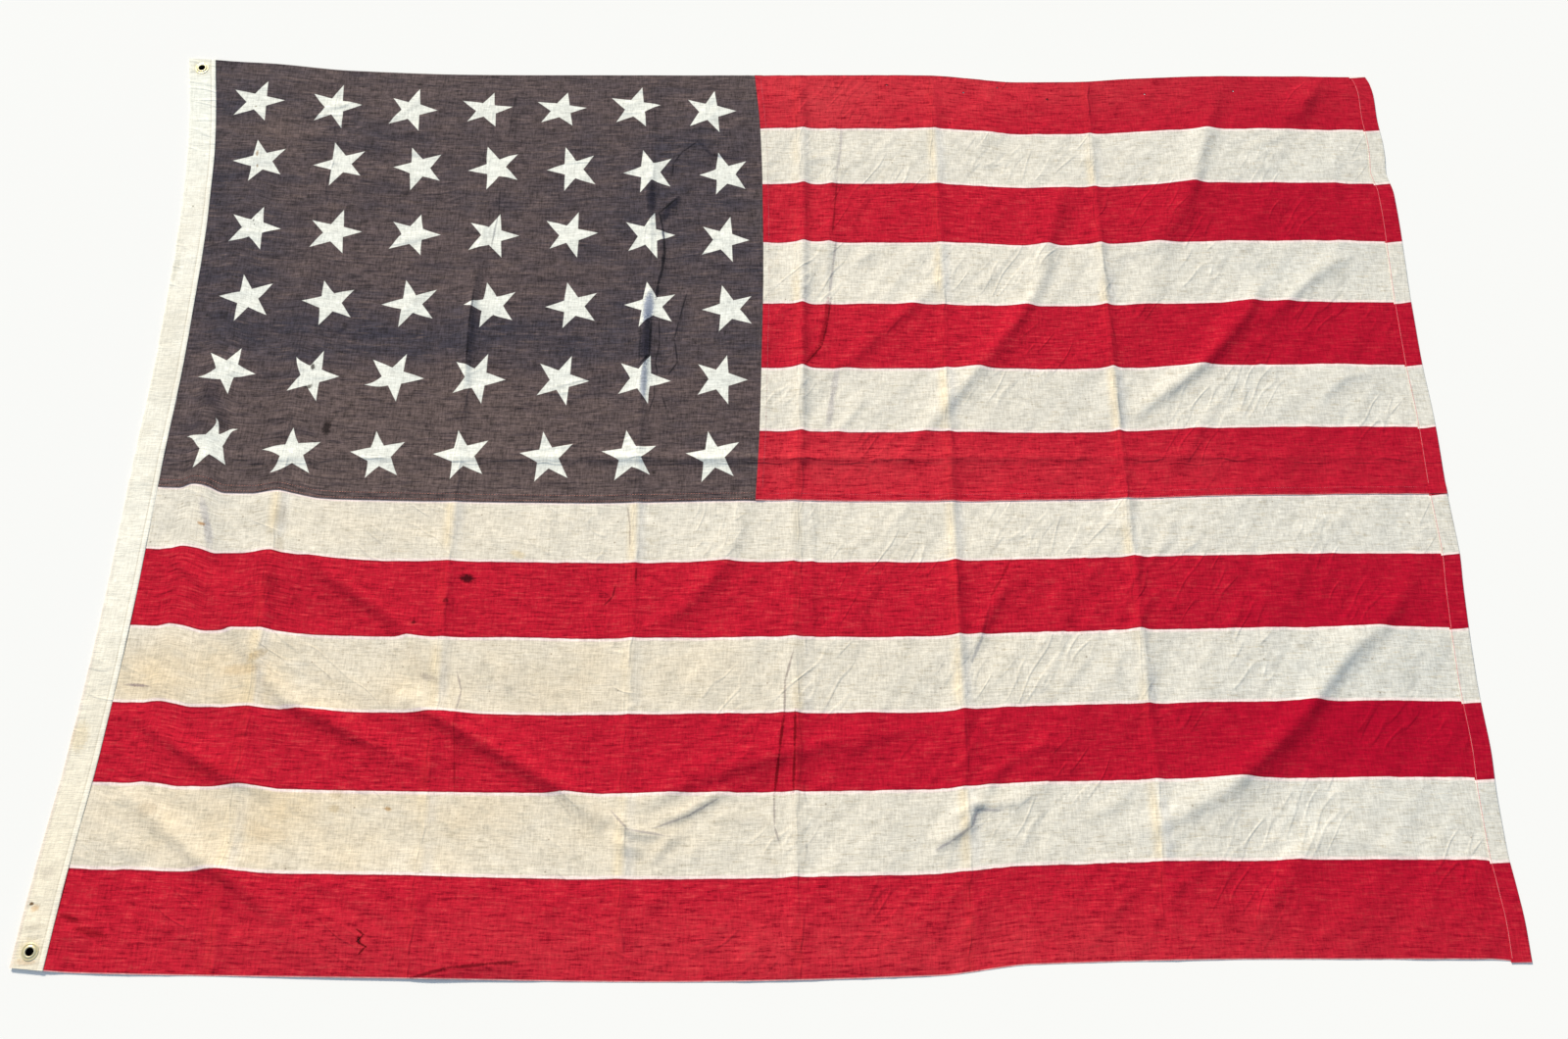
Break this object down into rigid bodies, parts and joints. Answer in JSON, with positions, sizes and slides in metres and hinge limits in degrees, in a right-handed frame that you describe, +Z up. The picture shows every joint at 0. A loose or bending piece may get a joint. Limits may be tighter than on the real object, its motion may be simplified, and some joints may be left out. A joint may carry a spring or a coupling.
{
  "type": "cotton flag laid out flat",
  "caption": "Cotton flag laid out flat with its storage creases: dyed canton, printed striped panels, canvas heading and brass grommets.",
  "frame": {"origin": "middle of the flag's box, on the surface it lies on", "axes": "+X from the heading to the fly end, +Y towards the top edge, +Z up"},
  "size_m": [1.8399, 1.344, 0.0098],
  "materials": {
    "canton_cotton": "dyed cotton faded to grey brown, white stars",
    "striped_cotton": "unbleached cotton printed with red stripes",
    "canvas": "white canvas, soiled",
    "brass": "aged brass"
  },
  "bodies": {
    "root": {"canton": "canton_cotton", "fly_stripes": "striped_cotton", "lower_stripes": "striped_cotton", "heading": "canvas", "grommet_top": "brass", "grommet_bottom": "brass"}
  },
  "joints": []
}
